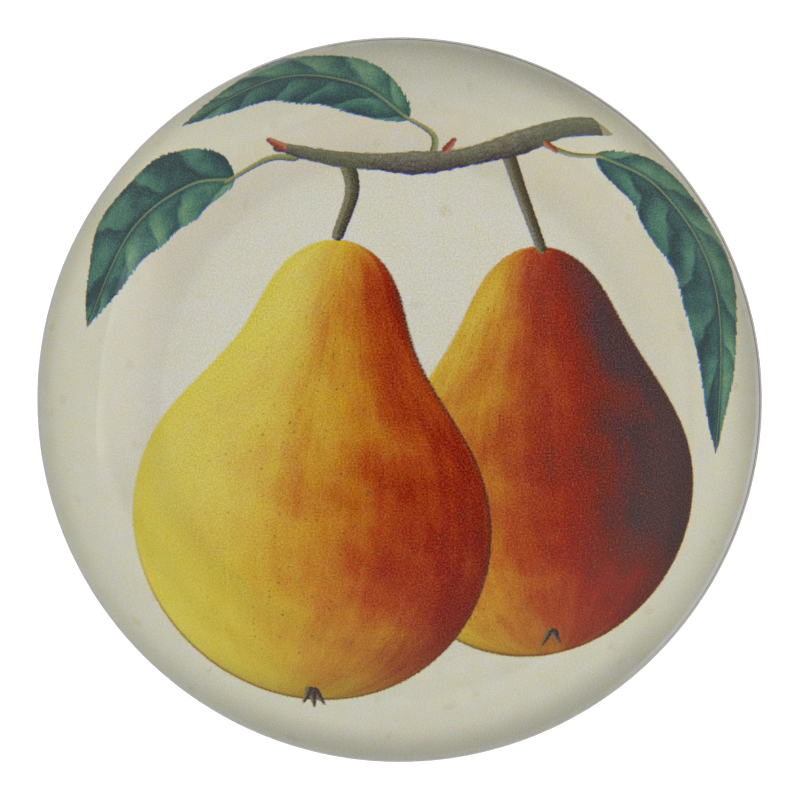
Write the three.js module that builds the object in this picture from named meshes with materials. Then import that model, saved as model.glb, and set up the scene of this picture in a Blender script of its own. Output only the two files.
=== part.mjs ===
// A round glass paperweight as it stands on a desk: a solid dome of clear glass with a short upright
// edge, a printed paper disc glued under the dome's flat base, and a felt pad glued under the paper.
//
// Millimetres, +Z up. The origin is the centre of the felt's underside, which is the face that the
// paperweight rests on, and +Y points to the top of the printed picture.

import * as THREE from 'three';

// Driving dimensions of the glass
const GLASS_DIAMETER = 89;
const GLASS_THICKNESS = 28.5;
const EDGE_HEIGHT = 4.5;
const RIM_ROUND = 0.5;
const BASE_CHAMFER = 0.4;

// Driving dimensions of the layers under the glass
const PAPER_THICKNESS = 0.25;
const PAPER_INSET = 0.4;
const FELT_THICKNESS = 1.5;
const FELT_INSET = 1.5;

// Fineness of the round surfaces
const TURN_SEGMENTS = 96;
const DOME_STEPS = 18;
const RIM_STEPS = 3;

// Heights that follow from the stack, from the desk upwards
const feltTop = FELT_THICKNESS;
const paperTop = feltTop + PAPER_THICKNESS;
const glassTop = paperTop + GLASS_THICKNESS;

const glassRadius = GLASS_DIAMETER / 2;

// The points of an arc in the profile plane, both ends included.
function arcPoints(centre, radius, fromAngle, toAngle, steps) {
  return Array.from({ length: steps + 1 }, (_, i) => {
    const angle = THREE.MathUtils.lerp(fromAngle, toAngle, i / steps);
    return new THREE.Vector2(
      centre.x + radius * Math.cos(angle),
      centre.y + radius * Math.sin(angle),
    );
  });
}

// Half of the dome's section, from the centre of its flat base out to the edge and up to the crown.
// The crown is one arc of a sphere through the crown point and the top of the upright edge. A small
// round, tangent to the sphere and to the edge, takes the sharp corner between them away.
function domeProfile() {
  const crownRise = GLASS_THICKNESS - EDGE_HEIGHT;
  const sphereRadius = (glassRadius ** 2 + crownRise ** 2) / (2 * crownRise);
  const sphereCentre = new THREE.Vector2(0, glassTop - sphereRadius);
  const roundX = glassRadius - RIM_ROUND;
  const roundCentre = new THREE.Vector2(
    roundX,
    sphereCentre.y + Math.sqrt((sphereRadius - RIM_ROUND) ** 2 - roundX ** 2),
  );
  const tangentAngle = Math.atan2(roundCentre.y - sphereCentre.y, roundCentre.x);

  const rim = arcPoints(roundCentre, RIM_ROUND, 0, tangentAngle, RIM_STEPS);
  const crown = arcPoints(sphereCentre, sphereRadius, tangentAngle, Math.PI / 2, DOME_STEPS);
  crown[DOME_STEPS].x = 0;
  return [
    new THREE.Vector2(0, paperTop),
    new THREE.Vector2(glassRadius - BASE_CHAMFER, paperTop),
    new THREE.Vector2(glassRadius, paperTop + BASE_CHAMFER),
    ...rim,
    ...crown.slice(1),
  ];
}

// A flat round sheet that lies on the height given.
function discGeometry(radius, thickness, underside) {
  const geometry = new THREE.CylinderGeometry(radius, radius, thickness, TURN_SEGMENTS);
  geometry.rotateX(Math.PI / 2);
  geometry.translate(0, 0, underside + thickness / 2);
  return geometry;
}

function makeGlassDome() {
  const geometry = new THREE.LatheGeometry(domeProfile(), TURN_SEGMENTS);
  geometry.rotateX(Math.PI / 2);
  const material = new THREE.MeshStandardMaterial({
    color: 0xf4f6f2,
    roughness: 0.03,
    metalness: 0,
    transparent: true,
    opacity: 0.35,
  });
  const mesh = new THREE.Mesh(geometry, material);
  mesh.name = 'glass_dome';
  return mesh;
}

function makePaperPrint() {
  const geometry = discGeometry(glassRadius - PAPER_INSET, PAPER_THICKNESS, feltTop);
  const material = new THREE.MeshStandardMaterial({ color: 0xd6d2ba, roughness: 0.8, metalness: 0 });
  const mesh = new THREE.Mesh(geometry, material);
  mesh.name = 'paper_print';
  return mesh;
}

function makeFeltPad() {
  const geometry = discGeometry(glassRadius - FELT_INSET, FELT_THICKNESS, 0);
  const material = new THREE.MeshStandardMaterial({ color: 0x2c2a28, roughness: 0.95, metalness: 0 });
  const mesh = new THREE.Mesh(geometry, material);
  mesh.name = 'felt_pad';
  return mesh;
}

const paperweight = new THREE.Group();
paperweight.add(makeGlassDome(), makePaperPrint(), makeFeltPad());

export default paperweight;
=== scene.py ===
"""The looks of a solid glass dome paperweight with a printed picture of pears under it.

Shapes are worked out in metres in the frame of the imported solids, +Z up. The picture is drawn in
millimetres on the print, +x to the right and +y to the top, with the origin at the print's centre.
"""

import logging
import math
from abc import ABC, abstractmethod
from dataclasses import dataclass
from enum import Enum

import bpy
import numpy as np
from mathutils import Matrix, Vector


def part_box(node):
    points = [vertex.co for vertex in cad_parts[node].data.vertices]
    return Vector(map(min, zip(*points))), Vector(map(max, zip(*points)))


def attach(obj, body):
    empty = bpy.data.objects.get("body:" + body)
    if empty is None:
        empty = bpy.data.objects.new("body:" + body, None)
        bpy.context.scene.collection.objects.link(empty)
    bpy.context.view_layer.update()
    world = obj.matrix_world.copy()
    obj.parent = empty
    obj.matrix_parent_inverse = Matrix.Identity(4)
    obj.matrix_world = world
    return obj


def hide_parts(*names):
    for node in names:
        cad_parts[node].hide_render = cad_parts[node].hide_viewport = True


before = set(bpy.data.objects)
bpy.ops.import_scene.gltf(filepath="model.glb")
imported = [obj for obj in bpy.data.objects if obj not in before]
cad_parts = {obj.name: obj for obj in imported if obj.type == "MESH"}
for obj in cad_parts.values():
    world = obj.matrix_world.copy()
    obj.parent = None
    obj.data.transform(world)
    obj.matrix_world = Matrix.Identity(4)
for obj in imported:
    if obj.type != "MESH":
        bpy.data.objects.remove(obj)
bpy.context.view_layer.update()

Array = np.ndarray
Object = bpy.types.Object
Material = bpy.types.Material
Node = bpy.types.Node
Socket = bpy.types.NodeSocket
Value = Socket | float | tuple
Colour = tuple[float, float, float, float]
Pair = tuple[float, float]
Points = tuple[Pair, ...]

MM = 0.001
FAR_OUT = -9.0
LOG = logging.getLogger("paperweight")


def screen(red: int, green: int, blue: int) -> Colour:
    """Turns a colour as a screen shows it into linear light.

    Each part c, from 0 to 1, becomes ((c + 0.055) / 1.055) to the power 2.4.

    Args:
        red: The red part, from 0 to 255.
        green: The green part, from 0 to 255.
        blue: The blue part, from 0 to 255.

    Returns:
        The red, green and blue light and an opacity of 1.
    """
    parts = [((c / 255 + 0.055) / 1.055) ** 2.4 for c in (red, green, blue)]
    return (*parts, 1.0)


def grey(level: float) -> Colour:
    """A grey of the same light in red, green and blue."""
    return (level, level, level, 1.0)


class Mix(Enum):
    """The ways in which one colour is laid on another."""

    OVER = "MIX"
    DARKEN = "MULTIPLY"


class Graph:
    """The nodes of one material or world. Each method adds a node and gives back its output."""

    def __init__(self, tree: bpy.types.NodeTree, flat: bool = False) -> None:
        """Empties the tree, so that it holds only what is added here.

        Args:
            tree: The nodes of the material or world.
            flat: Whether its patterns are of x and y alone.
        """
        self.nodes = tree.nodes
        self.links = tree.links
        self.dimensions = "2D" if flat else "3D"
        self.nodes.clear()

    def node(self, kind: str, inputs: dict[str | int, Value], **settings: object) -> Node:
        """Adds one node.

        Args:
            kind: Blender's name of the node type.
            inputs: The value or the other node's output for each input, by name or number.
            settings: The node's own properties.

        Returns:
            The node.
        """
        made = self.nodes.new(kind)
        for name, value in settings.items():
            setattr(made, name, value)
        for key, value in inputs.items():
            if isinstance(value, Socket):
                self.links.new(value, made.inputs[key])
            else:
                made.inputs[key].default_value = value
        return made

    def math(self, operation: str, *values: Value, clamp: bool = False) -> Socket:
        """One sum on numbers, such as ADD or MULTIPLY_ADD."""
        inputs = dict(enumerate(values))
        return self.node("ShaderNodeMath", inputs, operation=operation, use_clamp=clamp).outputs[0]

    def plus(self, one: Value, other: Value) -> Socket:
        """The sum of two numbers."""
        return self.math("ADD", one, other)

    def less(self, one: Value, other: Value) -> Socket:
        """One number less another."""
        return self.math("SUBTRACT", one, other)

    def times(self, one: Value, other: Value) -> Socket:
        """The product of two numbers."""
        return self.math("MULTIPLY", one, other)

    def sway(self, noise: Value, strength: float, base: Value = 0.0) -> Socket:
        """A base that goes up and down with a noise: base + strength x (noise - 0.5)."""
        return self.math("MULTIPLY_ADD", self.less(noise, 0.5), strength, base)

    def facing(self, x: Value, y: Value, side: Pair) -> Socket:
        """How squarely the direction (x, y) faces a side: x times its first number + y times its second."""
        return self.math("MULTIPLY_ADD", x, side[0], self.times(y, side[1]))

    def vector(self, operation: str, *values: Value) -> Socket:
        """One sum on vectors, part by part."""
        return self.node("ShaderNodeVectorMath", dict(enumerate(values)), operation=operation).outputs[0]

    def length(self, vector: Value) -> Socket:
        """How long a vector is."""
        return self.node("ShaderNodeVectorMath", {0: vector}, operation="LENGTH").outputs[1]

    def split(self, vector: Value) -> tuple[Socket, Socket, Socket]:
        """The three parts of a vector."""
        return tuple(self.node("ShaderNodeSeparateXYZ", {0: vector}).outputs)

    def join(self, x: Value, y: Value, z: Value = 0.0) -> Socket:
        """A vector of three numbers."""
        return self.node("ShaderNodeCombineXYZ", {0: x, 1: y, 2: z}).outputs[0]

    def attribute(self, name: str) -> Socket:
        """A vector that is stored at the mesh's points."""
        return self.node("ShaderNodeAttribute", {}, attribute_name=name).outputs["Vector"]

    def millimetres(self) -> Socket:
        """The place on the piece, in millimetres."""
        place = self.node("ShaderNodeTexCoord", {}).outputs["Object"]
        return self.vector("MULTIPLY", place, (1 / MM,) * 3)

    def step(self, value: Value, low: float, high: float, bottom: float = 0.0, top: float = 1.0) -> Socket:
        """A soft step: bottom below low, top above high, and a smooth rise between them."""
        inputs = {0: value, 1: low, 2: high, 3: bottom, 4: top}
        return self.node("ShaderNodeMapRange", inputs, interpolation_type="SMOOTHSTEP").outputs[0]

    def steps(self, vector: Value, low: float, high: float) -> Socket:
        """A soft step from 0 to 1 on each part of a vector."""
        inputs = {6: vector, 7: (low,) * 3, 8: (high,) * 3}
        kind = {"interpolation_type": "SMOOTHSTEP", "data_type": "FLOAT_VECTOR"}
        return self.node("ShaderNodeMapRange", inputs, **kind).outputs[1]

    def near(self, value: Value, middle: float, half: float, top: float) -> Socket:
        """A soft bump: top where the value is at the middle, and 0 from half the breadth off it."""
        return self.step(self.math("ABSOLUTE", self.less(value, middle)), 0.0, half, top, 0.0)

    def noise(
        self, place: Value, per_mm: float, detail: float, roughness: float = 0.5, part: int = 0
    ) -> Socket:
        """A noise round 0.5. Part 0 is a number, and part 1 a colour with three such numbers."""
        inputs = {"Vector": place, "Scale": per_mm, "Detail": detail, "Roughness": roughness}
        return self.node("ShaderNodeTexNoise", inputs, noise_dimensions=self.dimensions).outputs[part]

    def cells(self, place: Value, per_mm: float) -> Node:
        """A node of scattered points, with the distance to the nearest and a colour of its own for each."""
        inputs = {"Vector": place, "Scale": per_mm}
        return self.node("ShaderNodeTexVoronoi", inputs, voronoi_dimensions=self.dimensions)

    def ramp(self, value: Value, stops: tuple[tuple[float, Colour], ...]) -> Socket:
        """A colour that runs through the stops as the value goes from 0 to 1."""
        made = self.node("ShaderNodeValToRGB", {0: value})
        elements = made.color_ramp.elements
        while len(elements) < len(stops):
            elements.new(0.5)
        for element, (position, colour) in zip(elements, stops):
            element.position = position
            element.color = colour
        return made.outputs[0]

    def mix(self, share: Value, below: Value, above: Value, way: Mix = Mix.OVER) -> Socket:
        """Lays one colour on another, by a share from 0 to 1."""
        inputs = {0: share, 6: below, 7: above}
        kind = {"data_type": "RGBA", "blend_type": way.value, "clamp_factor": True}
        return self.node("ShaderNodeMix", inputs, **kind).outputs[2]

    def darken(self, share: Value, below: Value, by: Value) -> Socket:
        """Multiplies a colour by another one, by a share from 0 to 1."""
        return self.mix(share, below, by, Mix.DARKEN)

    def plates(self, shares: Value, below: Value, above: Value) -> Socket:
        """Lays one colour on another by a share for each of red, green and blue.

        It is below + (above - below) x share.
        """
        difference = self.vector("SUBTRACT", above, below)
        return self.vector("MULTIPLY_ADD", difference, shares, below)

    def cover(self, depths: Value, softness: float) -> Socket:
        """How much of a motif each colour plate shows, from its depth inside the outline there.

        Where the blue plate stands out past the green one, it shows only half of what it has more, so a
        yellow fringe is fainter than a blue one.
        """
        red, green, blue = self.split(self.steps(depths, -softness, softness))
        halfway = self.times(self.plus(green, blue), 0.5)
        return self.join(red, green, self.math("MINIMUM", blue, halfway))

    def gamma(self, colour: Value, power: float) -> Socket:
        """Each part of a colour to a power."""
        return self.node("ShaderNodeGamma", {0: colour, 1: power}).outputs[0]

    def surface(self, inputs: dict[str, Value]) -> None:
        """Joins the Principled surface with these inputs to the output."""
        made = self.node("ShaderNodeBsdfPrincipled", inputs)
        self.node("ShaderNodeOutputMaterial", {"Surface": made.outputs[0]})

    def bump(self, height: Value, depth: float, strength: float) -> Socket:
        """A normal that follows a height from 0 to 1 which stands for a depth in metres."""
        inputs = {"Height": height, "Distance": depth, "Strength": strength}
        return self.node("ShaderNodeBump", inputs).outputs[0]


def new_material(name: str, flat: bool = False) -> tuple[Material, Graph]:
    """A material that has no nodes yet, and its graph."""
    material = bpy.data.materials.new(name)
    material.use_nodes = True
    return material, Graph(material.node_tree, flat)


def new_piece(name: str, points: Array, faces: list[Array], sharp_degrees: float) -> Object:
    """Puts points and faces into a mesh that is smooth but for its sharp edges.

    Args:
        name: The piece's name.
        points: One row of x, y and z for each point, in metres.
        faces: Arrays of point numbers, one row for each face.
        sharp_degrees: Edges that turn by more than this stay sharp.

    Returns:
        The object, in the scene, at the origin.
    """
    mesh = bpy.data.meshes.new(name)
    mesh.from_pydata(points.tolist(), [], [face for group in faces for face in group.tolist()])
    mesh.shade_smooth()
    mesh.set_sharp_from_angle(angle=math.radians(sharp_degrees))
    piece = bpy.data.objects.new(name, mesh)
    bpy.context.scene.collection.objects.link(piece)
    return piece


def revolved(name: str, profile: Array, segments: int, sharp_degrees: float) -> Object:
    """Turns a profile round the Z axis.

    The point (r, z) of the profile goes to (r cos a, r sin a, z) at each turn a. The first and the last
    point lie on the axis, below and above, and close the surface.

    Args:
        name: The piece's name.
        profile: One row of r and z for each point, in metres. A third axis may hold one profile a turn.
        segments: How many turns a there are.
        sharp_degrees: Edges that turn by more than this stay sharp.

    Returns:
        The object.
    """
    turn = np.linspace(0, 2 * np.pi, segments, endpoint=False)
    rows = profile[:, :, None] if profile.ndim == 2 else profile
    rows = np.broadcast_to(rows, (len(profile), 2, segments))
    rings = np.stack([rows[1:-1, 0] * np.cos(turn), rows[1:-1, 0] * np.sin(turn), rows[1:-1, 1]], axis=-1)
    count = len(rings)
    poles = np.array([[0, 0, rows[0, 1, 0]], [0, 0, rows[-1, 1, 0]]])
    points = np.vstack([rings.reshape(-1, 3), poles])

    here = np.arange(segments)
    following = (here + 1) % segments
    row = segments * np.arange(count - 1)[:, None]
    over = row + segments
    quads = np.stack([row + here, row + following, over + following, over + here], axis=-1)
    last = segments * (count - 1)
    below = np.stack([np.full(segments, segments * count), following, here], axis=-1)
    above = np.stack([np.full(segments, segments * count + 1), last + here, last + following], axis=-1)
    return new_piece(name, points, [quads.reshape(-1, 4), below, above], sharp_degrees)


def arc(centre: Pair, radius: float, start: float, end: float, steps: int) -> Array:
    """Points on a circle: centre + radius (cos a, sin a), as a goes from start to end in even steps."""
    angle = np.linspace(start, end, steps + 1)
    return np.stack([centre[0] + radius * np.cos(angle), centre[1] + radius * np.sin(angle)], axis=-1)


@dataclass(frozen=True)
class Curve:
    """A smooth line through a few points of the picture."""

    points: Points
    steps: int = 14

    def line(self) -> Array:
        """The line as short straight steps.

        Between two points it is the cubic that passes both, with slopes along the chords of their
        neighbours.
        """
        given = np.array(self.points, float)
        given = np.vstack([2 * given[0] - given[1], given, 2 * given[-1] - given[-2]])
        t = np.linspace(0, 1, self.steps, endpoint=False)[:, None]
        spans = [
            b + 0.5 * t * ((c - a) + t * ((2 * a - 5 * b + 4 * c - d) + t * (3 * (b - c) + d - a)))
            for a, b, c, d in zip(given, given[1:], given[2:], given[3:])
        ]
        return np.vstack([*spans, given[-2]])

    def nearest(self, x: Array, y: Array) -> tuple[Array, Array]:
        """Where each point lies beside the curve.

        Each straight step gives the foot of the point on it, and the step whose foot is nearest counts.

        Args:
            x: The points' places across, in millimetres.
            y: The points' places upwards, in millimetres.

        Returns:
            How far along the curve the foot is, from 0 to 1, and how far off the curve the point is, in
            millimetres, above zero on the right as one goes along.
        """
        line = self.line()
        strides = np.diff(line, axis=0)
        sizes = np.hypot(*strides.T)
        ends = np.cumsum(sizes)
        best = np.full(x.shape, np.inf)
        along = np.zeros(x.shape)
        side = np.ones(x.shape)
        for start, stride, size, end in zip(line, strides, sizes, ends):
            dx, dy = x - start[0], y - start[1]
            t = np.clip((dx * stride[0] + dy * stride[1]) / size**2, 0, 1)
            gap = np.hypot(dx - t * stride[0], dy - t * stride[1])
            closer = gap < best
            best = np.where(closer, gap, best)
            along = np.where(closer, (end - size + t * size) / ends[-1], along)
            side = np.where(closer, np.where(dx * stride[1] > dy * stride[0], 1.0, -1.0), side)
        return along, side * best


@dataclass(frozen=True)
class Inks:
    """What the picture's parts share: the place in millimetres and the unevenness of the ink, round 0.5."""

    place: Socket
    cloud: Socket
    wash: Socket
    stipple: Socket


@dataclass(frozen=True)
class Motif(ABC):
    """One part of the picture. Each kind says where it lies, what its ink follows and its colour."""

    name: str

    SOFTNESS = 0.1

    @abstractmethod
    def depth(self, x: Array, y: Array) -> Array:
        """How far inside the outline each point is, in millimetres.

        Args:
            x: The points' places across, in millimetres.
            y: The points' places upwards, in millimetres.

        Returns:
            One number for each point, below zero outside the outline.
        """

    @abstractmethod
    def fields(self, x: Array, y: Array) -> Array:
        """What the ink follows, as one row of three numbers for each point."""

    @abstractmethod
    def ink(self, g: Graph, inks: Inks) -> tuple[Socket, Socket]:
        """The colour, and by how many millimetres the outline goes in and out."""

    def attributes(self, x: Array, y: Array, scales: tuple[float, ...]) -> dict[str, Array]:
        """What the paint reads at the points: the depth on each plate, at its scale, and the fields."""
        depths = [self.depth(x / scale, y / scale) for scale in scales]
        return {self.name + "_plates": np.stack(depths, axis=-1), self.name: self.fields(x, y)}

    def paint(self, g: Graph, inks: Inks, below: Socket) -> Socket:
        """Lays the motif on what is below it.

        Args:
            g: The material's graph.
            inks: The shared unevenness.
            below: The colour that the motif covers.

        Returns:
            The colour with the motif on it.
        """
        colour, ragged = self.ink(g, inks)
        edges = g.vector("ADD", g.attribute(self.name + "_plates"), ragged)
        return g.plates(g.cover(edges, self.SOFTNESS), below, colour)


@dataclass(frozen=True)
class Leaf(Motif):
    """A pointed leaf with a midrib, side veins and a toothed edge."""

    midrib: Curve
    left_half: float
    right_half: float
    veins: float
    dark_right: bool = True

    skew: float = 0.7
    fullness: float = 0.85
    waves: float = 3.2
    wave_height: float = 0.05
    teeth: float = 30.0
    tooth_height: float = 0.32
    tooth_drift: float = 2.4
    raggedness: float = 0.2

    vein_lean: float = 0.8
    vein_bend: float = 1.1
    fold_strength: float = 0.5
    crease_shade: float = 0.12
    side_shade: float = 0.24
    edge_shade: float = 0.12
    hollow_shade: float = 0.16
    rib_start: float = 0.19
    rib_taper: float = 0.16
    rib_shade_reach: float = 0.35

    DEEP = screen(40, 72, 78)
    LIGHT = screen(116, 166, 132)
    RIB = screen(156, 182, 128)
    BLADE = (
        (0.0, DEEP),
        (0.28, screen(58, 102, 102)),
        (0.58, screen(84, 140, 120)),
        (0.82, LIGHT),
        (1.0, screen(146, 188, 144)),
    )

    def fields(self, x: Array, y: Array) -> Array:
        """The share of the way along the midrib, the distance off it and half the leaf's breadth there.

        Half the breadth is the largest half breadth x sin(pi u**skew)**fullness, with a few slow waves.
        """
        u, v = self.midrib.nearest(x, y)
        widest = np.where(v > 0, self.right_half, self.left_half)
        wave = 1 + self.wave_height * np.sin(2 * np.pi * self.waves * u + 2.0 * np.sign(v))
        half = widest * np.sin(np.pi * u**self.skew).clip(0) ** self.fullness * wave
        return np.stack([u, v, half], axis=-1)

    def depth(self, x: Array, y: Array) -> Array:
        """Half the breadth less the distance off the midrib, without the teeth."""
        u, v, half = self.fields(x, y).T
        return half - np.abs(v)

    def ink(self, g: Graph, inks: Inks) -> tuple[Socket, Socket]:
        """The blade's colour, and the teeth of its edge.

        A side vein lies where u x veins - vein_lean x (|v| / half)**0.8, bent by slow clouds, is a whole
        number, and half a vein further on at the right. The blade is folded at each of them: dark behind a
        vein and ever lighter up to the next, where it turns down soon.
        """
        u, v, half = g.split(g.attribute(self.name))
        off = g.math("ABSOLUTE", v)
        share = g.math("DIVIDE", off, g.math("MAXIMUM", half, 0.3), clamp=True)
        right = g.step(v, -0.02, 0.02)

        saw = g.math("FRACT", g.math("MULTIPLY_ADD", u, self.teeth, g.sway(inks.wash, self.tooth_drift)))
        height = g.times(g.step(inks.wash, 0.35, 0.65, 0.3, 1.0), self.tooth_height)
        ragged = g.sway(inks.stipple, self.raggedness, g.times(g.less(saw, 0.5), height))

        course = g.math("MULTIPLY_ADD", u, self.veins, g.times(right, 0.5))
        course = g.math("MULTIPLY_ADD", g.math("POWER", share, 0.8), -self.vein_lean, course)
        cell = g.math("FRACT", g.plus(g.sway(inks.cloud, self.vein_bend, course), 8.0))
        fold = g.times(g.step(cell, 0.0, 0.84), g.step(cell, 1.0, 0.86))
        fold = g.times(g.less(fold, 0.45), g.step(share, 0.02, 0.4, 0.0, self.fold_strength))
        crease = g.times(g.step(cell, 0.09, 0.0), g.step(share, 0.3, 0.9, -self.crease_shade, 0.0))

        tone = g.plus(g.plus(g.sway(inks.cloud, 0.75, 0.52), fold), crease)
        dark_half = right if self.dark_right else g.less(1.0, right)
        tone = g.math("MULTIPLY_ADD", dark_half, -self.side_shade, tone)
        tone = g.plus(tone, g.step(share, 0.7, 1.0, 0.0, -self.edge_shade))
        tone = g.plus(tone, g.step(share, 0.0, 0.25, -self.hollow_shade, 0.0))
        tone = g.sway(inks.stipple, 0.4, g.sway(inks.wash, 0.3, tone))
        colour = g.ramp(tone, self.BLADE)

        rib_half = g.math("MULTIPLY_ADD", u, -self.rib_taper, self.rib_start)
        rib_shade = g.less(g.plus(rib_half, self.rib_shade_reach), off)
        colour = g.mix(g.step(rib_shade, -0.3, 0.3, 0.0, 0.45), colour, self.DEEP)
        colour = g.mix(g.step(g.less(rib_half, off), -0.08, 0.08, 0.0, 0.6), colour, self.RIB)
        rim = g.times(g.step(g.less(half, off), 0.05, 0.3, 0.4, 0.0), inks.wash)
        return g.mix(rim, colour, self.LIGHT), ragged


@dataclass(frozen=True)
class Pear(Motif):
    """A pear seen from the side, with its blush on the right."""

    belly: Pair
    belly_radius: float
    hip: Pair
    hip_radius: float
    neck: Pair
    neck_radius: float
    palest: float
    reddest: float

    waist: float = 15.0
    raggedness: float = 0.3
    streak_strength: float = 0.12
    cloud_strength: float = 0.32
    glow: float = 0.18
    shade: float = 0.6
    dots_per_mm: float = 1.2
    dot_growth: float = 0.12

    SOFTNESS = 0.12
    LIGHT_FROM = (-0.46, 0.42, 0.78)
    BLUSH_FROM = (0.9, 0.1, 0.42)
    SKIN = (
        (0.0, screen(242, 224, 86)),
        (0.18, screen(239, 216, 68)),
        (0.36, screen(232, 188, 50)),
        (0.5, screen(217, 138, 36)),
        (0.62, screen(196, 82, 22)),
        (0.74, screen(170, 42, 12)),
        (0.86, screen(132, 44, 24)),
        (1.0, screen(86, 55, 58)),
    )
    SHADE = screen(158, 124, 104)
    GLOW = screen(248, 240, 176)
    DOT = screen(140, 96, 50)
    LINE = screen(96, 58, 40)

    def depth(self, x: Array, y: Array) -> Array:
        """How far inside the outline of three joined circles each point is, in millimetres.

        Each circle gives its radius less the distance from its centre. Two of them, a and b, join as
        max(a, b) + max(waist - |a - b|, 0) squared / (4 waist).
        """
        centres = (self.belly, self.hip, self.neck)
        radii = (self.belly_radius, self.hip_radius, self.neck_radius)
        joined, *others = [r - np.hypot(x - c[0], y - c[1]) for c, r in zip(centres, radii)]
        for other in others:
            blend = (self.waist - np.abs(joined - other)).clip(0)
            joined = np.maximum(joined, other) + blend**2 / (4 * self.waist)
        return joined

    def axis(self) -> Array:
        """The direction from the belly's centre to the neck's."""
        upwards = np.subtract(self.neck, self.belly)
        return upwards / np.hypot(*upwards)

    def place(self, x: Array, y: Array) -> tuple[Array, Array]:
        """How far each point is across the axis and along it, from the belly's centre."""
        up = self.axis()
        dx, dy = x - self.belly[0], y - self.belly[1]
        return dx * up[1] - dy * up[0], dx * up[0] + dy * up[1]

    def breadths(self, along: Array) -> list[Array]:
        """How far the outline stands off the axis on the left and on the right, at places along it.

        A row of points goes out from the axis at each place. The outline is where the depth, taken as
        straight between the last point inside and the first one outside, is zero.
        """
        up = self.axis()
        reach = np.linspace(0, 1.4 * self.belly_radius, 120)
        rows = np.arange(len(along))
        found = []
        for side in (-1, 1):
            x = self.belly[0] + along[:, None] * up[0] + side * reach * up[1]
            y = self.belly[1] + along[:, None] * up[1] - side * reach * up[0]
            depths = self.depth(x, y)
            last = (depths > 0).sum(axis=1).clip(1, len(reach) - 1) - 1
            inner, outer = depths[rows, last], depths[rows, last + 1]
            found.append(reach[last] + reach[1] * (inner / (inner - outer)).clip(0, 1))
        return found

    def fields(self, x: Array, y: Array) -> Array:
        """The light on the skin, its blush and how far the place is across, from -1 to 1.

        The pear is taken as round about its axis. With s the share across and w' the slope of its breadth,
        the skin faces (cos(atan w') s, -sin(atan w'), cos(atan w') sqrt(1 - s squared)) in the axes across,
        along and towards the eye. Light and blush are how squarely it faces two given directions.
        """
        across, along = self.place(x, y)
        reach = np.linspace(-1.2 * self.belly_radius, 3.2 * self.belly_radius, 320)
        sides = self.breadths(reach)
        left, right = (np.interp(along, reach, side) for side in sides)
        s = (across / np.where(across < 0, left, right).clip(0.4)).clip(-1, 1)
        left, right = (np.interp(along, reach, np.arctan(np.gradient(side, reach))) for side in sides)
        slope = left + (right - left) * (s + 1) / 2
        facing = np.stack([np.cos(slope) * s, -np.sin(slope), np.cos(slope) * np.sqrt(1 - s**2)])
        light, warm = (np.tensordot(side, facing, axes=1) for side in (self.LIGHT_FROM, self.BLUSH_FROM))
        blush = self.palest + (self.reddest - self.palest) * ((warm + 0.55) / 1.5).clip(0, 1) ** 1.25
        return np.stack([light, blush, s], axis=-1)

    def attributes(self, x: Array, y: Array, scales: tuple[float, ...]) -> dict[str, Array]:
        """Adds the place on the round skin, in millimetres, where dots lie closer at the edges."""
        found = super().attributes(x, y, scales)
        s = found[self.name][:, 2]
        along = self.place(x, y)[1]
        found[self.name + "_skin"] = np.stack([np.arcsin(s) * self.belly_radius, along, 0 * s], axis=-1)
        return found

    def ink(self, g: Graph, inks: Inks) -> tuple[Socket, Socket]:
        """The skin's colour, with clouds, streaks, dots, light, shade and a thin line where it is dark."""
        light, blush, _ = g.split(g.attribute(self.name))
        inside = g.split(g.attribute(self.name + "_plates"))[1]
        skin = g.attribute(self.name + "_skin")

        streaks = g.noise(g.vector("MULTIPLY", skin, (0.75, 0.13, 1.0)), 1.0, 3.0, 0.6)
        clouds = g.noise(skin, 0.13, 3.0, 0.55)
        turning = g.times(g.step(blush, 0.12, 0.45), g.step(blush, 0.7, 1.0, 1.0, 0.35))
        tone = g.sway(streaks, self.streak_strength, g.sway(clouds, self.cloud_strength, blush))
        roughness = g.math("MULTIPLY_ADD", turning, -0.03, 0.08)
        tone = g.plus(tone, g.times(g.less(inks.stipple, 0.5), roughness))
        colour = g.ramp(tone, self.SKIN)

        glow = g.times(g.step(light, 0.7, 1.0, 0.0, self.glow), g.step(blush, 0.2, 0.5, 1.0, 0.15))
        colour = g.mix(glow, colour, self.GLOW)
        colour = g.mix(g.step(light, 0.35, -0.5, 0.0, self.shade), colour, self.SHADE, Mix.DARKEN)

        dots = g.cells(skin, self.dots_per_mm)
        chosen, size, _ = g.split(dots.outputs["Color"])
        from_dot = g.math("MULTIPLY_ADD", size, -self.dot_growth, dots.outputs["Distance"])
        dot = g.times(g.step(from_dot, 0.02, 0.14, 1.0, 0.0), g.step(chosen, 0.66, 0.94, 0.0, 0.62))
        dot = g.times(dot, g.math("MULTIPLY_ADD", turning, 0.7, 0.3))
        colour = g.mix(dot, colour, self.DOT)

        line = g.times(g.step(inside, 0.05, 0.5, 0.75, 0.0), g.step(light, 0.6, -0.1))
        return g.mix(line, colour, self.LINE), g.sway(inks.stipple, self.raggedness)


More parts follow.
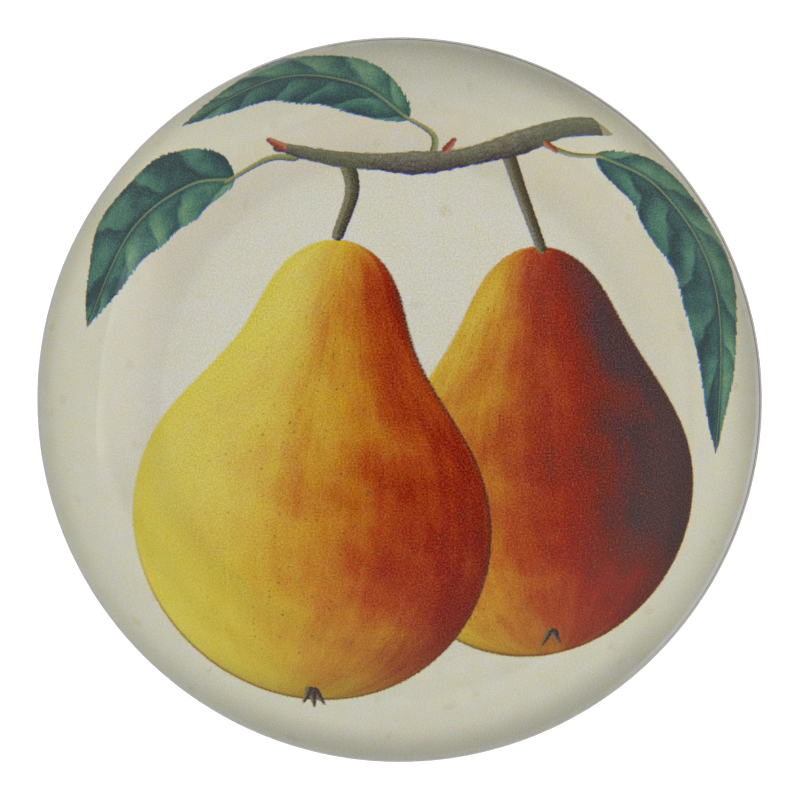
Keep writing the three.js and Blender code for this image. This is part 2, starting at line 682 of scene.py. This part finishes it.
@dataclass(frozen=True)
class Twig(Motif):
    """A woody twig with spurs, whose half breadths stand at even places along it.

    It starts at a slanting cut. The cut's slant is how far it goes on at the lower edge, as a share of
    half the breadth.
    """

    course: Curve
    halves: tuple[float, ...]

    slant: float = 0.8
    cut_face: float = 0.018
    raggedness: float = 0.5
    bark_strength: float = 0.6
    ring_strength: float = 0.22
    edge_shade: float = 0.22
    moss: float = 0.45

    BARK = (
        (0.1, screen(70, 62, 58)),
        (0.42, screen(108, 101, 90)),
        (0.68, screen(136, 135, 112)),
        (0.95, screen(168, 168, 138)),
    )
    MOSS = screen(116, 126, 86)
    CUT = screen(190, 182, 138)

    def fields(self, x: Array, y: Array) -> Array:
        """The share of the way along, the distance off the middle and half the breadth there."""
        u, v = self.course.nearest(x, y)
        half = np.interp(u, np.linspace(0, 1, len(self.halves)), self.halves)
        return np.stack([u, v, half], axis=-1)

    def depth(self, x: Array, y: Array) -> Array:
        """Half the breadth less the distance off the middle, or the distance past the cut if less."""
        u, v, half = self.fields(x, y).T
        start, second = self.course.line()[:2]
        along = (second - start) / np.hypot(*(second - start))
        past = (x - start[0]) * along[0] + (y - start[1]) * along[1]
        across = (x - start[0]) * along[1] - (y - start[1]) * along[0]
        return np.minimum(half - np.abs(v), past - self.slant * across)

    def ink(self, g: Graph, inks: Inks) -> tuple[Socket, Socket]:
        """Bark that is lighter on the right as one goes along, with rings, moss and a pale cut face."""
        u, v, half = g.split(g.attribute(self.name))
        share = g.math("DIVIDE", v, half)
        bark = g.noise(g.join(g.times(u, 34.0), g.times(v, 2.6)), 1.0, 3.0, 0.6)
        rings = g.noise(g.join(g.times(u, 160.0), g.times(v, 0.7)), 1.0, 2.0)
        tone = g.sway(bark, self.bark_strength, g.math("MULTIPLY_ADD", share, 0.36, 0.48))
        tone = g.sway(inks.stipple, 0.4, g.sway(rings, self.ring_strength, tone))
        tone = g.plus(tone, g.step(g.math("ABSOLUTE", share), 0.6, 1.0, 0.0, -self.edge_shade))
        colour = g.mix(g.step(inks.cloud, 0.44, 0.6, 0.0, self.moss), g.ramp(tone, self.BARK), self.MOSS)
        colour = g.mix(g.step(u, self.cut_face, 0.6 * self.cut_face, 0.0, 0.92), colour, self.CUT)
        return colour, g.sway(bark, self.raggedness)


class Stem(Enum):
    """The kinds of thin stroke, each with the place of its colour between 0 and 1."""

    WOOD = 0.1
    GREEN = 0.4
    BUD = 0.65
    DRY = 0.9


@dataclass(frozen=True)
class Stroke:
    """One thin stroke of a stem, whose half breadth goes evenly from its start to its end."""

    course: Curve
    start_half: float
    end_half: float
    kind: Stem

    def place(self, x: Array, y: Array) -> tuple[Array, Array]:
        """How far inside the outline each point is, in millimetres, and how far across, from -1 to 1."""
        u, v = self.course.nearest(x, y)
        half = self.start_half + (self.end_half - self.start_half) * u
        return half - np.abs(v), v / half


@dataclass(frozen=True)
class Stems(Motif):
    """All the thin strokes of one layer of the picture."""

    strokes: tuple[Stroke, ...]

    raggedness: float = 0.25
    shade: float = 0.75
    shine: float = 0.3
    fleck: float = 0.5

    SOFTNESS = 0.09
    BANDS = (
        (0.0, 0.25, screen(112, 104, 74)),
        (0.26, 0.55, screen(168, 180, 104)),
        (0.56, 0.8, screen(206, 84, 42)),
        (0.81, 1.0, screen(86, 62, 44)),
    )
    SHADE = screen(116, 110, 102)
    SHINE = screen(226, 224, 188)

    def depth(self, x: Array, y: Array) -> Array:
        """How far inside the nearest stroke each point is, in millimetres."""
        return np.max([stroke.place(x, y)[0] for stroke in self.strokes], axis=0)

    def fields(self, x: Array, y: Array) -> Array:
        """The share across the nearest stroke, the stroke's kind and zero."""
        depths, shares = np.array([stroke.place(x, y) for stroke in self.strokes]).swapaxes(0, 1)
        nearest = np.argmax(depths, axis=0)
        kinds = np.array([stroke.kind.value for stroke in self.strokes])
        share = np.take_along_axis(shares, nearest[None], axis=0)[0]
        return np.stack([share.clip(-3, 3), kinds[nearest], 0 * share], axis=-1)

    def ink(self, g: Graph, inks: Inks) -> tuple[Socket, Socket]:
        """One plain colour for each kind of stroke, dark along its left edge and bright in its middle."""
        share, kind, _ = g.split(g.attribute(self.name))
        colour = g.ramp(kind, tuple((place, colour) for *places, colour in self.BANDS for place in places))
        colour = g.mix(g.step(share, 0.0, -1.0, 0.0, self.shade), colour, self.SHADE, Mix.DARKEN)
        colour = g.mix(g.step(share, -0.1, 0.55, 0.0, self.shine), colour, self.SHINE)
        colour = g.mix(g.times(inks.stipple, self.fleck), colour, self.SHADE, Mix.DARKEN)
        return colour, g.sway(inks.stipple, self.raggedness)


@dataclass(frozen=True)
class Picture:
    """The printed picture: its parts from the back to the front, and how its colour plates drift.

    The red plate is printed a little smaller and the blue one a little larger than the green one, so the
    edges of things have thin colour fringes that grow outwards.
    """

    motifs: tuple[Motif, ...]
    plate_scales: tuple[float, float, float] = (0.999, 1.0, 1.0045)

    def attributes(self, x: Array, y: Array) -> dict[str, Array]:
        """All that the parts' paint reads at the points of the print.

        Args:
            x: The points' places across, in millimetres.
            y: The points' places upwards, in millimetres.

        Returns:
            The name of each attribute, with one row of three numbers for each point.
        """
        found = {}
        for motif in self.motifs:
            found |= motif.attributes(x, y, self.plate_scales)
        return found


def pears_on_a_twig() -> Picture:
    """The picture: two pears on a twig that comes in at the top right, with three leaves."""
    right_leaf = Leaf(
        "right_leaf",
        Curve(((21.5, 27.0), (29.5, 23.5), (35.5, 13.0), (35.0, -6.0))),
        left_half=3.6,
        right_half=5.6,
        veins=6.0,
    )
    left_leaf = Leaf(
        "left_leaf",
        Curve(((-17.5, 23.5), (-23.0, 23.2), (-29.6, 18.6), (-34.6, 8.0))),
        left_half=4.6,
        right_half=5.6,
        veins=5.0,
    )
    top_leaf = Leaf(
        "top_leaf",
        Curve(((1.0, 30.0), (-5.0, 35.0), (-14.0, 36.6), (-25.0, 31.5))),
        left_half=4.2,
        right_half=3.6,
        veins=6.0,
        dark_right=False,
    )
    back_pear = Pear(
        "back_pear",
        belly=(16.0, -9.5),
        belly_radius=14.4,
        hip=(13.5, -12.0),
        hip_radius=12.0,
        neck=(14.6, 10.5),
        neck_radius=4.6,
        palest=0.34,
        reddest=1.02,
    )
    front_pear = Pear(
        "front_pear",
        belly=(-10.5, -12.5),
        belly_radius=16.4,
        hip=(-8.5, -15.5),
        hip_radius=14.0,
        neck=(-6.6, 10.8),
        neck_radius=5.2,
        palest=0.04,
        reddest=0.74,
    )
    stalks = Stems(
        "stalks",
        (
            Stroke(Curve(((-5.6, 25.2), (-4.9, 21.5), (-6.3, 16.8))), 0.85, 0.62, Stem.WOOD),
            Stroke(Curve(((11.4, 26.6), (12.6, 22.0), (14.6, 15.6))), 0.8, 0.58, Stem.WOOD),
            Stroke(Curve(((-11.0, 25.6), (-14.0, 25.6), (-18.5, 23.2))), 0.44, 0.24, Stem.GREEN),
            Stroke(Curve(((3.4, 25.2), (3.6, 28.0), (0.6, 30.3))), 0.42, 0.24, Stem.GREEN),
            Stroke(Curve(((14.6, 28.0), (18.4, 26.6), (22.3, 26.8))), 0.42, 0.24, Stem.GREEN),
        ),
    )
    twig = Twig(
        "twig",
        Curve(((23.2, 31.0), (18.0, 29.9), (10.5, 26.6), (3.0, 24.8), (-6.0, 25.2), (-13.0, 27.0))),
        halves=(1.3, 1.25, 1.2, 1.5, 1.15, 1.1, 1.4, 1.0, 0.95, 0.8, 0.55),
    )
    buds = Stems(
        "buds",
        (
            Stroke(Curve(((-12.6, 27.0), (-14.1, 28.0))), 0.55, 0.3, Stem.BUD),
            Stroke(Curve(((4.9, 26.3), (5.8, 27.5))), 0.46, 0.28, Stem.BUD),
            Stroke(Curve(((15.9, 27.7), (16.9, 26.8))), 0.42, 0.26, Stem.BUD),
            Stroke(Curve(((-9.8, -31.6), (-10.6, -33.4))), 0.5, 0.14, Stem.DRY),
            Stroke(Curve(((-9.2, -31.7), (-8.2, -33.5))), 0.5, 0.14, Stem.DRY),
            Stroke(Curve(((-9.5, -31.9), (-9.4, -33.9))), 0.5, 0.14, Stem.DRY),
            Stroke(Curve(((16.0, -24.8), (15.2, -26.4))), 0.45, 0.12, Stem.DRY),
            Stroke(Curve(((16.5, -24.8), (17.3, -26.3))), 0.45, 0.12, Stem.DRY),
        ),
    )
    return Picture((right_leaf, left_leaf, top_leaf, back_pear, front_pear, stalks, twig, buds))


@dataclass(frozen=True)
class PrintedPaper:
    """Matte cream paper printed with the picture, and painted shade towards its edge. Sizes in millimetres.

    Painted shade makes it darker inside the shoulder, in a ring where the dome gathers light, and most in
    the middle too, which the dome lights more than the rest.
    """

    picture: Picture

    # Where the painted shade of the middle, the ring and the shoulder lies, in millimetres.
    middle: Pair = (23.0, 32.5)
    lit_ring: float = 32.9
    lit_half: float = 2.2
    shoulder: Pair = (34.0, 40.0)
    shaded_top: Pair = (28.0, 41.0)
    # Where the painted shade towards the rim lies, in millimetres.
    rim_shade_span: Pair = (36.0, 40.0)
    # Where the painted glint and the painted dark line of the glass rim lie, in millimetres.
    band: Pair = (41.2, 41.9)
    band_strength: float = 0.5
    streak_radius: float = 41.9
    streak_half: float = 0.6
    line_radius: float = 42.25
    line_half: float = 0.11
    rim_glint_edge: Pair = (42.29, 42.37)
    rim_mark_strength: float = 0.9

    # Sides where the painted rim shade is weaker; on the streak side the painted band becomes a pale
    # streak.
    bright_side: Pair = (-0.94, 0.34)
    bright_spread: Pair = (0.6, -0.2)
    bright_side_shade: float = 0.05
    streak_side: Pair = (0.906, -0.423)
    streak_side_spread: Pair = (0.92, 0.99)
    streak_side_shade: float = 0.4
    streak_spread: Pair = (0.84, 0.97)
    line_side: Pair = (0.819, 0.574)
    line_spread: Pair = (0.0, 0.8)

    specks_per_mm: float = 5.2
    blotches_per_mm: float = 0.4
    coarser: Pair = (32.0, 40.0)
    coarsest: float = 1.5

    CREAM = screen(243, 241, 224)
    WARM = screen(243, 237, 209)
    FOXED = screen(211, 187, 145)
    TINT = (0.08, 0.05, 0.25)
    # Painted shade where the dome lights the print more.
    MIDDLE = grey(0.66)
    RING = grey(0.93)
    SHOULDER = grey(0.795)
    TOP = (0.71, 0.72, 0.75, 1.0)
    # Painted shade towards the rim.
    RIM_SHADE = (0.8, 0.795, 0.8, 1.0)
    # Painted glint and painted dark edge of the glass rim.
    BAND = screen(244, 244, 245)
    LINE = screen(60, 58, 56)
    RIM_GLINT = screen(250, 246, 252)

    def material(self) -> Material:
        """Paints the paper first and each part of the picture over it, and then the grain of the print."""
        material, g = new_material("printed_paper", flat=True)
        place = g.millimetres()
        inks = Inks(
            place=place,
            cloud=g.noise(place, 0.14, 3.0, 0.55),
            wash=g.noise(place, 0.7, 2.0, 0.5),
            stipple=g.noise(place, 3.6, 2.0, 0.7),
        )
        colour = self.ground(g, inks)
        for motif in self.picture.motifs:
            colour = motif.paint(g, inks, colour)
        colour = self.border(g, inks, colour)
        colour = self.grain(g, inks, colour)
        g.surface({"Base Color": colour, "Roughness": 0.85, "Specular IOR Level": 0.0})
        return material

    def ground(self, g: Graph, inks: Inks) -> Socket:
        """The bare paper: cream with slow warmer clouds and a few faint brown spots."""
        colour = g.mix(g.step(inks.cloud, 0.38, 0.68, 0.0, 0.3), self.CREAM, self.WARM)
        from_spot = g.cells(inks.place, 0.12).outputs["Distance"]
        from_spot = g.math("MULTIPLY_ADD", inks.wash, 0.25, from_spot)
        return g.mix(g.step(from_spot, 0.12, 0.22, 0.22, 0.0), colour, self.FOXED)

    def border(self, g: Graph, inks: Inks, below: Socket) -> Socket:
        """Paints shade on the print towards its edge, then the glass rim's glint: a pale band, and a
        near-white edge last.

        The painted shade is weaker on the bright side and on the streak side. The painted band turns to a
        pale streak on the streak side, and a thin painted dark line, for the shade of the glass edge, runs
        beside the edge there and further up.

        Args:
            g: The material's graph.
            inks: The shared unevenness.
            below: The colour of the print.

        Returns:
            The colour with the border on it.
        """
        flat = g.vector("MULTIPLY", inks.place, (1.0, 1.0, 0.0))
        radius = g.length(flat)
        x, y, _ = g.split(g.vector("NORMALIZE", flat))
        sides = (self.bright_side, self.streak_side, self.line_side)
        bright, streak_facing, lined = (g.facing(x, y, side) for side in sides)

        # Darker towards the top, and painted shade in the middle, in a ring and inside the shoulder, where
        # the dome lights the print more.
        colour = g.darken(g.step(g.split(inks.place)[1], *self.shaded_top), below, self.TOP)
        colour = g.darken(g.step(radius, *self.middle, 1.0, 0.0), colour, self.MIDDLE)
        colour = g.darken(g.near(radius, self.lit_ring, self.lit_half, 1.0), colour, self.RING)
        colour = g.darken(g.step(radius, *self.shoulder, 1.0, 0.0), colour, self.SHOULDER)
        # Painted shade towards the rim, weaker on the bright side and on the streak side.
        dim = g.step(bright, *self.bright_spread, self.bright_side_shade, 1.0)
        dim = g.times(dim, g.step(streak_facing, *self.streak_side_spread, 1.0, self.streak_side_shade))
        colour = g.darken(g.times(g.step(radius, *self.rim_shade_span), dim), colour, self.RIM_SHADE)

        # Painted glint of the glass rim: a pale band, turning to a paler streak on the streak side.
        uneven = g.math("MULTIPLY_ADD", inks.wash, 0.8, 0.1)
        band = g.times(g.times(g.step(radius, *self.band), uneven), self.band_strength)
        colour = g.mix(band, colour, self.BAND)
        streak = g.near(radius, self.streak_radius, self.streak_half, self.rim_mark_strength)
        colour = g.mix(g.times(streak, g.step(streak_facing, *self.streak_spread)), colour, self.RIM_GLINT)
        # Painted glint: the last sliver of the print turns near white, as the glass rim shows it.
        colour = g.mix(g.step(radius, *self.rim_glint_edge, 0.0, self.rim_mark_strength), colour, self.RIM_GLINT)
        # Painted shade: a thin dark line for the dark glass edge, on one side of the rim.
        line = g.near(radius, self.line_radius, self.line_half, self.rim_mark_strength)
        return g.mix(g.times(line, g.step(lined, *self.line_spread)), colour, self.LINE)

    def grain(self, g: Graph, inks: Inks, below: Socket) -> Socket:
        """Fine grey specks, stronger on dark ink than on paper, and faint yellow, pink and lilac blotches.

        The colour becomes (r + specks x (0.42 - 0.31 w) + blotches x (0.2 + 0.9 w) x TINT) squared, with r
        its root and w the root of its brightness. The specks grow stronger towards the edge. The blotches
        are another noise for each of red, green and blue.
        """
        specks = g.less(g.noise(inks.place, self.specks_per_mm, 2.0, 0.65), 0.5)
        blotches = g.noise(inks.place, self.blotches_per_mm, 4.0, 1.0, part=1)
        brightness = g.math("SQRT", g.node("ShaderNodeRGBToBW", {0: below}).outputs[0])
        strength = g.math("MULTIPLY_ADD", brightness, -0.31, 0.42)
        strength = g.times(strength, g.step(g.length(inks.place), *self.coarser, 1.0, self.coarsest))
        speckled = g.vector("ADD", g.gamma(below, 0.5), g.times(specks, strength))
        blotches = g.vector("SUBTRACT", blotches, (0.5,) * 3)
        blotches = g.vector("MULTIPLY", blotches, g.math("MULTIPLY_ADD", brightness, 0.9, 0.2))
        tinted = g.vector("MULTIPLY_ADD", blotches, self.TINT, speckled)
        return g.gamma(g.vector("MAXIMUM", tinted, (0.0,) * 3), 2.0)


@dataclass(frozen=True)
class ClearGlass:
    """Polished clear glass with faint smears and fine scratches."""

    TINT = (0.985, 0.992, 0.985, 1.0)
    INDEX = 1.52
    POLISH = 0.01
    SMEAR = 0.03
    SCRATCH = 0.02

    def material(self) -> Material:
        """Smears and fine scratches only roughen the polish a little."""
        material, g = new_material("clear_glass")
        place = g.millimetres()
        smear = g.step(g.noise(place, 0.09, 3.0, 0.6), 0.5, 0.75, 0.0, self.SMEAR)
        scratch = g.noise(g.vector("MULTIPLY", place, (4.0, 0.12, 0.12)), 1.0, 2.0, 0.7)
        rough = g.plus(g.step(scratch, 0.66, 0.74, 0.0, self.SCRATCH), g.plus(smear, self.POLISH))
        g.surface(
            {
                "Base Color": self.TINT,
                "Roughness": rough,
                "IOR": self.INDEX,
                "Transmission Weight": 1.0,
            }
        )
        return material


@dataclass(frozen=True)
class PressedFelt:
    """Dark pressed wool felt with matted fibres."""

    FIBRES = ((0.35, screen(30, 28, 27)), (0.62, screen(66, 62, 60)), (0.82, screen(128, 122, 116)))
    FIBRE_DEPTH = 0.15 * MM

    def material(self) -> Material:
        """Fibres are noise drawn out one way and crossed by a second, and a few pale ones show."""
        material, g = new_material("dark_felt")
        place = g.millimetres()
        bent = g.vector("MULTIPLY_ADD", g.noise(place, 0.5, 2.0, part=1), (1.6,) * 3, place)
        one, other = (
            g.noise(g.vector("MULTIPLY", bent, per_mm), 1.0, 2.0, 0.6)
            for per_mm in ((7.0, 0.9, 5.0), (0.9, 7.0, 5.0))
        )
        fibres = g.math("MAXIMUM", one, other)
        g.surface(
            {
                "Base Color": g.ramp(fibres, self.FIBRES),
                "Roughness": 0.95,
                "Specular IOR Level": 0.2,
                "Sheen Weight": 0.35,
                "Sheen Roughness": 0.6,
                "Normal": g.bump(fibres, self.FIBRE_DEPTH, 0.8),
            }
        )
        return material


@dataclass(frozen=True)
class GlassDome:
    """The solid glass: a spherical crown over a short upright edge and a flat base. Sizes in metres."""

    edge_height: float = 4.5 * MM
    rim_round: float = 0.5 * MM
    base_chamfer: float = 0.4 * MM
    crown_steps: int = 110
    rim_steps: int = 10
    segments: int = 640

    def profile(self) -> Array:
        """Half of the section, from the middle of the base round to the crown.

        The crown is a circle through the crown point and the top of the upright edge, with a radius of
        (r squared + h squared) / (2 h) for a radius r and a rise h. A small round that touches both
        the crown and the edge lies between them.
        """
        low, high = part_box("glass_dome")
        radius = high.x
        rise = high.z - low.z - self.edge_height
        sphere = (radius**2 + rise**2) / (2 * rise)
        middle = high.z - sphere
        round_x = radius - self.rim_round
        round_z = middle + math.sqrt((sphere - self.rim_round) ** 2 - round_x**2)
        touch = math.atan2(round_z - middle, round_x)
        rim = arc((round_x, round_z), self.rim_round, 0, touch, self.rim_steps)
        crown = arc((0, middle), sphere, touch, math.pi / 2, self.crown_steps)
        base = [[0, low.z], [radius - self.base_chamfer, low.z], [radius, low.z + self.base_chamfer]]
        return np.vstack([base, rim, crown[1:]])

    def build(self) -> Object:
        """Makes the dome and puts it in the place of its solid."""
        dome = revolved("dome_of_glass", self.profile(), self.segments, sharp_degrees=25)
        dome.data.materials.append(ClearGlass().material())
        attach(dome, "root")
        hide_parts("glass_dome")
        return dome


@dataclass(frozen=True)
class PaperPrint:
    """The paper disc, whose printed top is bonded to the glass. Sizes in metres."""

    picture: Picture
    bond: float = 0.03 * MM
    side: int = 288

    def build(self) -> Object:
        """Makes the disc, stores the picture's attributes on it and puts it in the place of its solid.

        The top is a square grid of (p, q) from -1 to 1 that is bent into a circle: x = p sqrt(1 - q q / 2)
        and y = q sqrt(1 - p p / 2), times the radius. It sinks into the glass by the bond, so that no air
        lies between them.
        """
        low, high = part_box("paper_print")
        shares = np.linspace(-1, 1, self.side)
        q, p = np.meshgrid(shares, shares, indexing="ij")
        x = high.x * p * np.sqrt(1 - q**2 / 2)
        y = high.x * q * np.sqrt(1 - p**2 / 2)
        top = np.stack([x, y, np.full_like(x, high.z + self.bond)], axis=-1).reshape(-1, 3)

        number = np.arange(self.side**2).reshape(self.side, self.side)
        quads = np.stack([number[:-1, :-1], number[:-1, 1:], number[1:, 1:], number[1:, :-1]], axis=-1)
        border = np.concatenate([number[0, :-1], number[:-1, -1], number[-1, :0:-1], number[:0:-1, 0]])
        under = top[border] * (1, 1, 0) + (0, 0, low.z)
        points = np.vstack([top, under, [[0, 0, low.z]]])
        lower = len(top) + np.arange(len(border))
        edge = np.stack([border, lower, np.roll(lower, -1), np.roll(border, -1)], axis=-1)
        back = np.stack([np.full(len(border), len(points) - 1), np.roll(lower, -1), lower], axis=-1)
        disc = new_piece("pear_print", points, [quads.reshape(-1, 4), edge, back], sharp_degrees=40)

        for name, rows in self.picture.attributes(top[:, 0] / MM, top[:, 1] / MM).items():
            values = np.full((len(points), 3), FAR_OUT)
            values[: len(top)] = rows
            stored = disc.data.attributes.new(name, "FLOAT_VECTOR", "POINT")
            stored.data.foreach_set("vector", values.astype(np.float32).ravel())
        disc.data.materials.append(PrintedPaper(self.picture).material())
        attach(disc, "root")
        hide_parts("paper_print")
        return disc


@dataclass(frozen=True)
class FeltPad:
    """The felt disc that the paperweight rests on. Sizes in metres."""

    fuzz: float = 0.12 * MM
    corner: float = 0.25 * MM
    side_steps: int = 14
    corner_steps: int = 5
    flat_steps: int = 8
    segments: int = 1200
    smoothing: int = 3
    seed: int = 7

    def build(self) -> Object:
        """Makes the disc and puts it in the place of its solid.

        The section has rounded corners, and its cut edge goes in and out by a random depth, at most the
        fuzz, which is another at each turn and is smoothed over a few of them.
        """
        low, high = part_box("felt_pad")
        radius = high.x - self.corner
        lower = arc((radius, low.z + self.corner), self.corner, -math.pi / 2, 0, self.corner_steps)
        upper = arc((radius, high.z - self.corner), self.corner, 0, math.pi / 2, self.corner_steps)
        straight = np.linspace(lower[-1], upper[0], self.side_steps)[1:-1]
        inwards = np.linspace(0, radius, self.flat_steps, endpoint=False)
        under = np.stack([inwards, np.full(self.flat_steps, low.z)], axis=-1)
        over = np.stack([inwards[::-1], np.full(self.flat_steps, high.z)], axis=-1)
        section = np.vstack([under, lower, straight, upper, over])

        draws = np.random.default_rng(self.seed).random((len(section), self.segments))
        soft = sum(np.roll(draws, k, axis=1) for k in range(self.smoothing)) / self.smoothing
        nearness = np.clip((section[:, :1] - radius) / self.corner, 0, 1)
        rows = np.repeat(section[:, :, None], self.segments, axis=2)
        rows[:, 0] -= self.fuzz * soft * nearness
        pad = revolved("felt_disc", rows, self.segments, sharp_degrees=80)
        pad.data.materials.append(PressedFelt().material())
        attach(pad, "root")
        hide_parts("felt_pad")
        return pad


@dataclass(frozen=True)
class Studio:
    """The floor, the soft light and the camera straight above. Sizes in metres."""

    picture_pixels: float = 800.0
    outline_pixels: float = 724.9
    sensor_mm: float = 36.0
    camera_aside: float = 0.053 * MM
    camera_down: float = 0.046 * MM
    camera_height: float = 0.6
    silhouette_height: float = 6.0 * MM
    floor_radius: float = 4.0
    floor_middle: float = 0.5
    floor_depth: float = 10 * MM
    floor_gap: float = 0.05 * MM

    window_side: Pair = (-0.988, 0.156)
    window_spread: Pair = (0.89, 0.98)
    window_foot: float = 0.015
    window_top: Pair = (0.3, 0.75)
    window_arch: float = 0.4
    far_below: Pair = (-0.42, -0.7)

    SKY = (1.65, 1.7, 1.28, 1.02)
    MIRRORED = (0.5, 0.5, 0.25, 0.05)
    HEIGHTS = (0.0, 0.2, 0.6, 0.9)
    WINDOW = 0.95
    BENEATH = 0.8
    BOARD = ((0.3, (0.93, 0.93, 0.925, 1.0)), (0.7, (0.95, 0.95, 0.945, 1.0)))
    FLOOR_GLOW = 0.42

    def floor(self) -> None:
        """A wide disc of pale board just below the felt, which the polished glass doesn't mirror."""
        radii = (0, self.floor_radius, self.floor_radius, self.floor_middle, 0)
        heights = (-self.floor_depth, -self.floor_depth, 0, 0, 0)
        profile = np.stack([radii, heights], axis=-1)
        profile[:, 1] -= self.floor_gap
        ground = revolved("floor", profile, 64, sharp_degrees=30)
        material, g = new_material("pale_board")
        g.surface(
            {
                "Base Color": g.ramp(g.noise(g.millimetres(), 0.9, 2.0), self.BOARD),
                "Roughness": 0.9,
                "Specular IOR Level": 0.1,
                "Emission Color": grey(1.0),
                "Emission Strength": self.FLOOR_GLOW,
            }
        )
        ground.data.materials.append(material)
        ground.visible_glossy = False

    def light(self) -> None:
        """A sky of soft white light all round.

        What the polished glass mirrors of it is dimmer, and dark overhead, as under a black card round the
        lens, but bright far below, where only the rim's small round looks. It has a broad window low on the
        left, whose lower edge is an arch: it falls away on both sides by window_arch x the squared sine of
        the turn from the window's middle.
        """
        world = bpy.data.worlds.new("studio")
        world.use_nodes = True
        world.cycles.sampling_method = "NONE"
        bpy.context.scene.world = world
        g = Graph(world.node_tree)
        x, y, z = g.split(g.node("ShaderNodeTexCoord", {}).outputs["Generated"])
        sky, mirrored = (
            g.ramp(z, tuple((height, grey(level)) for height, level in zip(self.HEIGHTS, levels)))
            for levels in (self.SKY, self.MIRRORED)
        )
        towards = g.facing(x, y, self.window_side)
        squared_sine = g.less(1.0, g.times(towards, towards))
        above = g.step(g.math("MULTIPLY_ADD", squared_sine, self.window_arch, z), 0.0, self.window_foot)
        window = g.times(g.step(towards, *self.window_spread), above)
        window = g.times(window, g.step(z, *self.window_top, self.WINDOW, 0.0))
        bright = g.plus(window, g.step(z, *self.far_below, 0.0, self.BENEATH))
        path = g.node("ShaderNodeLightPath", {})
        polished = g.times(path.outputs["Is Reflection Ray"], path.outputs["Is Glossy Ray"])
        light = g.mix(polished, sky, g.vector("ADD", mirrored, bright))
        background = g.node("ShaderNodeBackground", {"Color": light, "Strength": 1.0})
        g.node("ShaderNodeOutputWorld", {"Surface": background.outputs[0]})

    def camera(self) -> None:
        """Looks straight down, with the picture's top upwards and the outline as wide as in the photo."""
        low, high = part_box("glass_dome")
        view_width = (high.x - low.x) * self.picture_pixels / self.outline_pixels
        lens = bpy.data.cameras.new("overhead")
        lens.sensor_width = self.sensor_mm
        lens.lens = self.sensor_mm * (self.camera_height - self.silhouette_height) / view_width
        lens.clip_start = 0.01
        lens.clip_end = 20.0
        camera = bpy.data.objects.new("overhead", lens)
        camera.location = (self.camera_aside, -self.camera_down, self.camera_height)
        bpy.context.scene.collection.objects.link(camera)
        bpy.context.scene.camera = camera

    def develop(self) -> None:
        """How the light is followed and shown: enough bounces for thick glass, and plain screen colours."""
        scene = bpy.context.scene
        scene.view_settings.view_transform = "Standard"
        scene.cycles.max_bounces = 12
        scene.cycles.transmission_bounces = 10
        scene.cycles.diffuse_bounces = 4
        scene.cycles.glossy_bounces = 6
        scene.cycles.blur_glossy = 0.0
        scene.cycles.caustics_refractive = True
        scene.cycles.caustics_reflective = True
        scene.cycles.use_denoising = True


def main() -> None:
    """Builds the stage and the three pieces of the paperweight, and reports each of them."""
    logging.basicConfig(level=logging.INFO, format="%(name)s: %(message)s")
    studio = Studio()
    studio.camera()
    studio.light()
    studio.floor()
    studio.develop()
    for part in (FeltPad(), PaperPrint(pears_on_a_twig()), GlassDome()):
        piece = part.build()
        LOG.info("%s has %d points", piece.name, len(piece.data.vertices))


if __name__ == "__main__":
    main()
